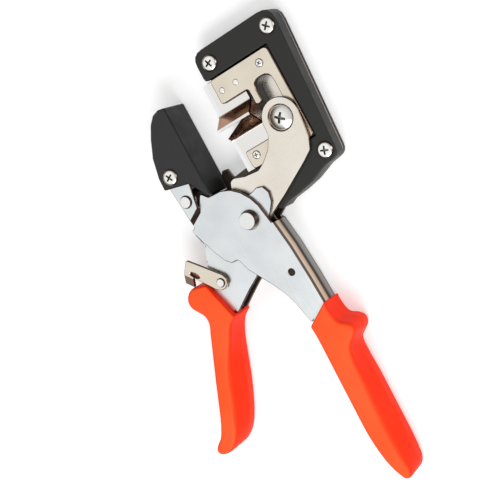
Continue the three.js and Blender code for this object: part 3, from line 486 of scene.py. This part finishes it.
# %% Orange grips
def make_grip_orange():
    finish, shader = start_finish("grip_orange", (0.93, 0.08, 0.015), 0, 0.5)
    cloud = spread(finish, pattern(finish, 35, 2.0), 0, 1)
    tone = mixed(finish, cloud, (0.93, 0.078, 0.014), (0.98, 0.1, 0.024))
    # The upright sides are painted a deeper red, a painted shade.
    painted_redder_sides = painted_side_shade(finish, tone, (1, 0.028, 0), upright=0.3, level=0.97)
    wire(finish, painted_redder_sides, shader.inputs["Base Color"])
    sheen = pattern(finish, 120, 3.0)
    wire(finish, spread(finish, sheen, 0.44, 0.58), shader.inputs["Roughness"])
    relief(finish, shader, pattern(finish, 1800, 2.0), 0.03 * mm)
    shader.inputs["Specular IOR Level"].default_value = 0.12
    return finish


grip_orange = make_grip_orange()
print("grips", grip_orange.name)

# %% [markdown]
# Inside sit the parts that nobody polishes: bush, spring, sleeve, spacer, pin and nut. They are
# dark oiled steel, with brown patches where the oil has gathered. One noise drives colour and
# roughness together, because a patch of oil changes both.


# %% Oiled inner steel
def make_oiled_steel():
    finish, shader = start_finish("oiled_steel", (0.24, 0.22, 0.2), 1, 0.35)
    patches = spread(finish, pattern(finish, 260, 4.0), 0, 1)
    tone = mixed(finish, patches, (0.13, 0.11, 0.095), (0.3, 0.285, 0.27))
    wire(finish, tone, shader.inputs["Base Color"])
    wire(finish, spread(finish, patches, 0.28, 0.5, 0, 1), shader.inputs["Roughness"])
    return finish


oiled_steel = make_oiled_steel()
print("materials", len(bpy.data.materials))

# %% [markdown]
# Each solid keeps its form and gets its finish by the slot that its record names. Three pieces
# differ from the rest of their slot: clamp plate and latch are a duller nickel, and the lever's
# walls carry a plain dark painted shade, because they stand inside the frame and mirror nothing.

# %% Finish of each node
finish_of_slot = {
    "frame_sheet": satin_plating,
    "rivet_steel": rivet_steel,
    "grip": grip_orange,
    "anvil_plastic": anvil_black,
    "housing_plastic": housing_black,
    "carrier_plastic": carrier_black,
    "screw_zinc": zinc_coat,
    "inner_steel": oiled_steel,
    "nickel_plate": warm_nickel,
    "blade_steel": blade_steel,
}
slot_of_node = {part["node"]: part["material_slot"] for part in frame["record"]["subparts"]}
body_of_node = {
    node: body for body, nodes in frame["record"]["behaviour"]["bodies"].items() for node in nodes
}
finish_of_node = {node: finish_of_slot[slot] for node, slot in slot_of_node.items()}
finish_of_node["clamp_plate"] = clamp_nickel
finish_of_node["latch"] = clamp_nickel
# The lever's walls have a plain dark painted shade.
finish_of_node["lever_channel"] = lever_plating_painted_wall_shade
for node, solid in frame["nodes"].items():
    solid.data.materials.clear()
    solid.data.materials.append(finish_of_node[node])
print("dressed", len(slot_of_node), "nodes")

# %% [markdown]
# Pieces that show from close by are copied, and the copy gets the edges that the press, the mould
# or the file leaves on the real piece. A solid from the frame is a bag of triangles. The copy is
# merged, and triangles that lie in one plane are dissolved into one face, so that an edge is an
# edge again and a bevel can follow it.


# %% Copies with real edges
def merged_copy(node):
    work = bmesh.new()
    work.from_mesh(frame["nodes"][node].data)
    bmesh.ops.remove_doubles(work, verts=work.verts, dist=0.002 * mm)
    bmesh.ops.dissolve_limit(
        work, angle_limit=math.radians(1), verts=work.verts, edges=work.edges
    )
    return work


def sharp_edges(work, degrees):
    limit = math.radians(degrees)
    return [e for e in work.edges if len(e.link_faces) == 2 and e.calc_face_angle() > limit]


def bevel_edges(work, edges, width, segments, clamped):
    bmesh.ops.bevel(
        work,
        geom=edges,
        offset=width,
        offset_type="OFFSET",
        affect="EDGES",
        segments=segments,
        profile=0.5,
        clamp_overlap=clamped,
        material=-1,
    )


trial = merged_copy("v_blade")
print("v_blade has", len(sharp_edges(trial, 40)), "sharp edges of", len(trial.edges))
trial.free()

# %% [markdown]
# A finished mesh becomes an object that stands for its node: it rides on the node's body,
# replaces the plain solid and keeps its slot. Edges flatter than the crease are shaded smooth,
# and weighted normals keep the large faces flat next to their small bevels.


# %% Pieces that stand for a node
def enlist(piece, node):
    """Puts a finished piece in the place of its plain solid."""
    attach(piece, body_of_node[node])
    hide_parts(node)
    print(piece.name, "faces", len(piece.data.polygons))


def settle(work, name, node, *inner_finishes):
    for face in work.faces:
        face.smooth = True
    for edge in work.edges:
        edge.smooth = len(edge.link_faces) == 2 and edge.calc_face_angle() < crease
    mesh = bpy.data.meshes.new(name)
    work.to_mesh(mesh)
    work.free()
    piece = bpy.data.objects.new(name, mesh)
    bpy.context.collection.objects.link(piece)
    weighted = piece.modifiers.new("even_normals", "WEIGHTED_NORMAL")
    weighted.keep_sharp = True
    for finish in (finish_of_node[node], *inner_finishes):
        mesh.materials.append(finish)
    enlist(piece, node)
    return piece


crease = math.radians(32)
print("crease", round(math.degrees(crease)), "degrees")

# %% [markdown]
# Frame and lever are channels, folded from sheet over a rounded tool, so the long edge between
# the front sheet and its wall is a bend and not a corner. Such edges are found by what they join:
# a level sheet and a wall that is deeper than the sheet is thick. They get a wide round of five
# segments first, and the cut outline gets its narrow chamfer afterwards. In between, the frame's
# back sheet is lowered behind the jaw, where the photo shows the throat a little deeper.


# %% Folds
def folds(work, depth):
    """Edges where a flat sheet turns down into a wall that is deeper than the sheet is thick."""
    found = []
    for edge in sharp_edges(work, 60):
        flat, wall = sorted(edge.link_faces, key=lambda face: -abs(face.normal.z))
        heights = [v.co.z for v in wall.verts]
        deep = max(heights) - min(heights) > depth and abs(flat.normal.z) > 0.9
        outer = deep and edge.is_convex
        if outer and abs(edge.verts[0].co.z - edge.verts[1].co.z) < 0.1 * mm:
            found.append(edge)
    return found


def deepen_throat(work):
    """Lowers the edge of the back sheet between the anvil and the housing."""
    left, right, lower, upper = -4 * mm, 7.5 * mm, 23 * mm, 27.5 * mm
    drop = 3 * mm
    back_sheet = [v for v in work.verts if v.co.z < 4.5 * mm]
    edge = [v for v in back_sheet if left < v.co.x < right and lower < v.co.y < upper]
    bmesh.ops.translate(work, verts=edge, vec=(0, -drop, 0))


def folded_copy(node, width):
    copy = merged_copy(node)
    bends = folds(copy, depth=5 * mm)
    bevel_edges(copy, bends, 1.2 * mm, 5, clamped=True)
    if node == "frame_channel":
        deepen_throat(copy)
    bevel_edges(copy, sharp_edges(copy, 60), width, 1, clamped=False)
    return copy


frame_work = folded_copy("frame_channel", 0.4 * mm)
lever_work = folded_copy("lever_channel", 0.35 * mm)
print("folded", len(frame_work.faces), "and", len(lever_work.faces), "faces")

# %% [markdown]
# Inside a channel hardly any light arrives, and its walls and floor look a warm brown. Those faces
# get the painted brown shade as a second material. To the right of a line under the housing the
# floor is the bright sheet that shows through the carrier's slot, so the frame is first cut along
# that line with bisect_plane, which adds edges and moves nothing.


# %% Inside of the channels
def mark_inside(work, ceiling, floor_level):
    """Gives the inside of a folded channel the painted brown shade as its second finish, and the
    housing's floor a third.
    """
    near, deep = 0.3 * mm, 7 * mm
    level, upright = 0.5, 0.3
    for face in work.faces:
        centre, aim = face.calc_center_median(), face.normal
        on_floor = aim.z > level and centre.z < floor_level + near
        if centre.x > housing_start and centre.y > 0:
            if on_floor:
                face.material_index = 2
            continue
        heights = [v.co.z for v in face.verts]
        under = aim.z < -level and centre.z > ceiling - near
        tall = max(heights) - min(heights) > deep
        wall = tall and abs(aim.z) < upright and aim.x < -0.2
        if under or on_floor or wall:
            face.material_index = 1


housing_start = 14 * mm
bmesh.ops.bisect_plane(
    frame_work,
    geom=[*frame_work.verts, *frame_work.edges, *frame_work.faces],
    dist=0.001 * mm,
    plane_co=(housing_start, 0, 0),
    plane_no=(1, 0, 0),
)
mark_inside(frame_work, ceiling=15 * mm, floor_level=3.8 * mm)
mark_inside(lever_work, ceiling=13.3 * mm, floor_level=5.5 * mm)
settle(frame_work, "frame_sheet_metal", "frame_channel", painted_channel_shade, warm_nickel)
settle(lever_work, "lever_sheet_metal", "lever_channel", painted_channel_shade)

# %% [markdown]
# The lever plate and the clamp plate are stamped and only need their edges broken. They get one
# narrow chamfer, as a press leaves it, and its dark line draws their outline. The bevel's clamp is
# off for a single segment, because on a finely faceted outline it would shrink the chamfer to
# nothing.


# %% Front plates
def edged_copy(node, width, segments):
    copy = merged_copy(node)
    bevel_edges(copy, sharp_edges(copy, 40), width, segments, clamped=segments > 1)
    return copy


settle(edged_copy("lever_plate", 0.35 * mm, 1), "drive_plate", "lever_plate")
settle(edged_copy("clamp_plate", 0.4 * mm, 1), "blade_clamp", "clamp_plate")

# %% [markdown]
# The latch is a stamped plate with a thumb tab that slopes down from it. Under its finger slot
# lies the shallow dish that the press leaves: a circle, stretched to an oval and extruded by half
# a millimetre, closes the slot from below. Tab and dish look away from the light, so both get the
# painted brown shade.

# %% Latch
latch_work = edged_copy("latch", 0.3 * mm, 1)
latch_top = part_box("latch")[1][2]
# Sloping faces under the plate get the painted brown shade.
for face in latch_work.faces:
    below_plate = face.calc_center_median().z < latch_top - 0.5 * mm
    if below_plate and 0.2 < abs(face.normal.z) < 0.99:
        face.material_index = 1

dish_place = Matrix.Translation((-40.9 * mm, -10.7 * mm, 15.15 * mm))
dish_turn = Matrix.Rotation(math.radians(-49.2), 4, "Z")
dish_size = Matrix.Diagonal((3.4, 1.6, 1, 1))
dish_depth = 0.45 * mm
made = bmesh.ops.create_circle(
    latch_work, cap_ends=True, segments=32, radius=mm, matrix=dish_place @ dish_turn @ dish_size
)
rim = set(made["verts"])
disc = [face for face in latch_work.faces if rim.issuperset(face.verts)]
raised = bmesh.ops.extrude_face_region(latch_work, geom=disc)["geom"]
raised_verts = [item for item in raised if isinstance(item, bmesh.types.BMVert)]
bmesh.ops.translate(latch_work, verts=raised_verts, vec=(0, 0, dish_depth))
dish_verts = rim | set(raised_verts)
dish = [face for face in latch_work.faces if dish_verts.issuperset(face.verts)]
for face in dish:
    face.material_index = 1
bmesh.ops.recalc_face_normals(latch_work, faces=dish)
settle(latch_work, "thumb_latch", "latch", painted_tab_shade)

# %% [markdown]
# The blade is ground and the carrier, the anvil and the housing are moulded, so their edges are
# small rounds of two segments. The width follows the piece: next to nothing on the blade, which
# has to look keen, and half a millimetre on the heavy anvil.

# %% Blade and moulded blocks
# piece, width in mm
rounded_edges = {
    "v_blade": ("bent_blade", 0.06),
    "carrier": ("blade_carrier", 0.25),
    "anvil": ("anvil_block", 0.5),
    "housing_front": ("housing_cover", 0.3),
    "housing_back": ("housing_base", 0.2),
}
for node, (name, width) in rounded_edges.items():
    settle(edged_copy(node, width * mm, 2), name, node)

# %% [markdown]
# The grips have no hard edges at all: the mould is polished and the plastic shrinks as it cools.
# A voxel remesh turns the lofted solid into an even skin, and a smooth modifier rounds it by
# about a millimetre. The hollow for the tang stays, because it is wider than a few voxels. The
# right grip ends blunter than its solid, so the skin behind a line near its tip is pressed
# together a little.


# %% Moulded grips
def moulded(node, name):
    work = merged_copy(node)
    mesh = bpy.data.meshes.new(name)
    work.to_mesh(mesh)
    work.free()
    piece = bpy.data.objects.new(name, mesh)
    bpy.context.collection.objects.link(piece)
    skin = piece.modifiers.new("even_skin", "REMESH")
    skin.mode = "VOXEL"
    skin.voxel_size = 0.45 * mm
    soften = piece.modifiers.new("mould_rounding", "SMOOTH")
    soften.factor = 0.5
    soften.iterations = 10
    view = bpy.context.evaluated_depsgraph_get()
    done = bpy.data.meshes.new_from_object(piece.evaluated_get(view))
    piece.modifiers.clear()
    piece.data = done
    for face in done.polygons:
        face.use_smooth = True
    done.materials.clear()
    done.materials.append(grip_orange)
    enlist(piece, node)
    return piece


right_grip = moulded("right_grip", "right_moulded_grip")
left_grip = moulded("left_grip", "left_moulded_grip")
tip_start, tip_share = -128 * mm, 0.8
for vert in right_grip.data.vertices:
    if vert.co.y < tip_start:
        vert.co.y = tip_start + (vert.co.y - tip_start) * tip_share

# %% [markdown]
# Screws, rivets and rings are round, so they are spun from half a profile, as a lathe would form
# them. The profile's ends lie on the axis, or meet each other for a ring, and the spin merges its
# last step with its first. Length and diameter are read from the solid that the piece stands for.


# %% Turned shapes
def spun(profile, centre, steps=48):
    """A closed turned shape from (radius, height) points."""
    work = bmesh.new()
    verts = [work.verts.new((centre[0] + r, centre[1], z)) for r, z in profile]
    edges = [work.edges.new(pair) for pair in zip(verts, verts[1:])]
    bmesh.ops.spin(
        work,
        geom=verts + edges,
        cent=(centre[0], centre[1], 0),
        axis=(0, 0, 1),
        angle=math.tau,
        steps=steps,
        use_merge=True,
    )
    bmesh.ops.remove_doubles(work, verts=work.verts, dist=0.001 * mm)
    bmesh.ops.recalc_face_normals(work, faces=work.faces)
    return work


def measured(node):
    """The lowest height, highest height, centre and radius of a round solid."""
    low, high = (Vector(corner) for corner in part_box(node))
    return low.z, high.z, (low + high) / 2, (high.x - low.x) / 2


print("drive screw's head", round(measured("drive_screw")[3] * 2 / mm, 1), "mm across")

# %% [markdown]
# The cross of a screw head is pressed in by a tapered punch. The punch starts as a flat star of
# twelve corners, which is extruded down and drawn together, so that the cross narrows with depth.
# Its faces carry the second material, the dark oiled steel, so the cross comes out dark: a painted
# shade in the recess.


# %% Cross punch
def cross_punch(centre, crown, reach, width, depth, angle):
    """A tapered cross that a screw head is cut with; it starts a little above the crown."""
    tip = width * 0.8
    star = bmesh.new()
    verts = []
    for quarter in range(4):
        swing = Matrix.Rotation(angle + quarter * math.pi / 2, 3, "Z")
        for along, across in ((reach, -tip), (reach, tip), (width, width)):
            corner = swing @ Vector((along, across, 0))
            place = (centre[0] + corner.x, centre[1] + corner.y, crown + depth * 0.3)
            verts.append(star.verts.new(place))
    pushed = bmesh.ops.extrude_face_region(star, geom=[star.faces.new(verts)])
    lower = [item for item in pushed["geom"] if isinstance(item, bmesh.types.BMVert)]
    bmesh.ops.translate(star, verts=lower, vec=(0, 0, -depth * 1.3))
    bmesh.ops.scale(
        star,
        verts=lower,
        vec=(punch_taper, punch_taper, 1),
        space=Matrix.Translation((-centre[0], -centre[1], 0)),
    )
    bmesh.ops.recalc_face_normals(star, faces=star.faces)
    # The punch's faces paint the cross with the dark oiled steel, a painted shade in the recess.
    for side in star.faces:
        side.material_index = 1
    mesh = bpy.data.meshes.new("cross_punch")
    star.to_mesh(mesh)
    star.free()
    punch = bpy.data.objects.new("cross_punch", mesh)
    bpy.context.collection.objects.link(punch)
    return punch


punch_taper = 0.55
print("punch narrows to", punch_taper, "of its width")

# %% [markdown]
# The head of a screw is a low pan with a rounded rim, flatter on the small screws and a full dome
# on the drive screw. A boolean cuts the punch out, because it keeps the round head round. It is
# applied at once, so that nothing but the finished screw is left in the scene.


# %% Screws
def finished_screw(node, name, shank, head_height, crown_share, angle, flatness=6):
    bottom, top, centre, head = measured(node)
    seat = top - head_height
    profile = [(0, bottom), (shank * 0.8, bottom), (shank, bottom + shank * 0.2), (shank, seat)]
    profile += [(head * 0.95, seat), (head, seat + head_height * 0.12)]
    rim = seat + head_height * (1 - crown_share)
    profile.append((head, rim))
    for i in range(1, 13):
        out = 1 - i / 12
        profile.append((head * out, rim + (top - rim) * (1 - out**flatness)))
    # The second material, oiled steel, is the painted shade of the cross.
    piece = settle(spun(profile, centre), name, node, oiled_steel)
    reach, width, depth = head * 0.6, head * 0.14, head_height * 0.85
    punch = cross_punch(centre, top, reach, width, depth, angle)
    cut = piece.modifiers.new("cross", "BOOLEAN")
    cut.operation = "DIFFERENCE"
    cut.solver = "EXACT"
    cut.object = punch
    piece.modifiers.move(1, 0)
    view = bpy.context.evaluated_depsgraph_get()
    cut_mesh = bpy.data.meshes.new_from_object(piece.evaluated_get(view))
    piece.modifiers.clear()
    piece.data = cut_mesh
    bpy.data.objects.remove(punch)


drive_form = {"shank": 2.4 * mm, "head_height": 2.0 * mm, "crown_share": 0.85, "flatness": 2}
pan_form = {"shank": 1.9 * mm, "head_height": 1.5 * mm, "crown_share": 0.6}
clamp_form = {"shank": 1.1 * mm, "head_height": 0.7 * mm, "crown_share": 0.7}
finished_screw("drive_screw", "drive_pan_screw", angle=0.9, **drive_form)
finished_screw("anvil_screw", "anvil_pan_screw", angle=0.5, **pan_form)
for i in range(1, 5):
    finished_screw(f"housing_screw_{i}", f"housing_pan_screw_{i}", angle=0.4 * i, **pan_form)
for i in range(1, 3):
    finished_screw(f"clamp_screw_{i}", f"clamp_pan_screw_{i}", angle=0.7 * i, **clamp_form)

# %% [markdown]
# Rivets are spun as well. The head is a thick disc that narrows towards its face and has a small
# round at its rim. Its side, darkened further by the painted shade of the rivet steel, is what the
# eye sees as the dark crescent next to the bright face, so base and neck are given for each rivet
# as shares of the solid's radius.


# %% Rivets
def finished_rivet(node, name, foot, shank, head_height, base, neck):
    bottom, top, centre, head = measured(node)
    seat = top - head_height
    profile = [(0, bottom)] + [(r, bottom + z) for r, z in foot] + [(shank, seat)]
    profile += [(head * base, seat), (head * base, seat + head_height * 0.12)]
    profile += [(head * neck, seat + head_height * 0.85), (head * neck * 0.93, top), (0, top)]
    settle(spun(profile, centre, 64), name, node)


pivot_foot = [(4 * mm, 0), (4.3 * mm, 0.3 * mm), (4.3 * mm, 2.2 * mm), (3 * mm, 2.2 * mm)]
strap_foot = [(2.8 * mm, 0), (1.8 * mm, 1 * mm)]
latch_foot = [(2.1 * mm, 0), (2.1 * mm, 0.8 * mm), (1.4 * mm, 0.8 * mm)]
clamp_foot = [(0.9 * mm, 0)]
# piece, foot, shank and head height in mm, base and neck of the head as shares of its radius
rivets = {
    "pivot_rivet": ("pivot_turned_rivet", pivot_foot, 3, 3.1, 1.14, 0.98),
    "strap_rivet": ("strap_turned_rivet", strap_foot, 1.8, 1.1, 1.08, 0.95),
    "latch_rivet": ("latch_turned_rivet", latch_foot, 1.4, 0.8, 1.12, 0.95),
    "clamp_rivet_1": ("clamp_turned_rivet_1", clamp_foot, 0.9, 0.3, 1.12, 0.94),
    "clamp_rivet_2": ("clamp_turned_rivet_2", clamp_foot, 0.9, 0.3, 1.12, 0.94),
}
for node, (name, foot, shank, head_height, base, neck) in rivets.items():
    finished_rivet(node, name, foot, shank * mm, head_height * mm, base, neck)

# %% [markdown]
# Between the two straps sits a spacer ring, of which only a sliver shows past the strap's slope.
# It is spun like the rivets, a little thicker than its solid, so that no floor shines through
# beside it.


# %% Strap spacer
def turned_spacer(node, name, bore, grow):
    """A ring with broken edges, a little thicker than its solid."""
    bottom, top, centre, radius = measured(node)
    outer = radius + grow
    rim = 0.2 * mm
    profile = [(bore, bottom), (outer - rim, bottom), (outer, bottom + rim), (outer, top - rim)]
    profile += [(outer - rim, top), (bore, top), (bore, bottom)]
    settle(spun(profile, centre), name, node)


turned_spacer("strap_spacer", "strap_turned_spacer", bore=1.9 * mm, grow=0.8 * mm)

# %% [markdown]
# The box of the plain solids was measured right after loading. It is kept beside the box of the
# dressed tool, so a piece that grew out of the solids is easy to spot.

# %% Size and finish
dressed_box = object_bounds()
boxes = {"cad": cad_box, "visual": dressed_box}
for name, box in boxes.items():
    print(name, "box", [[round(v, 4) for v in corner] for corner in box])
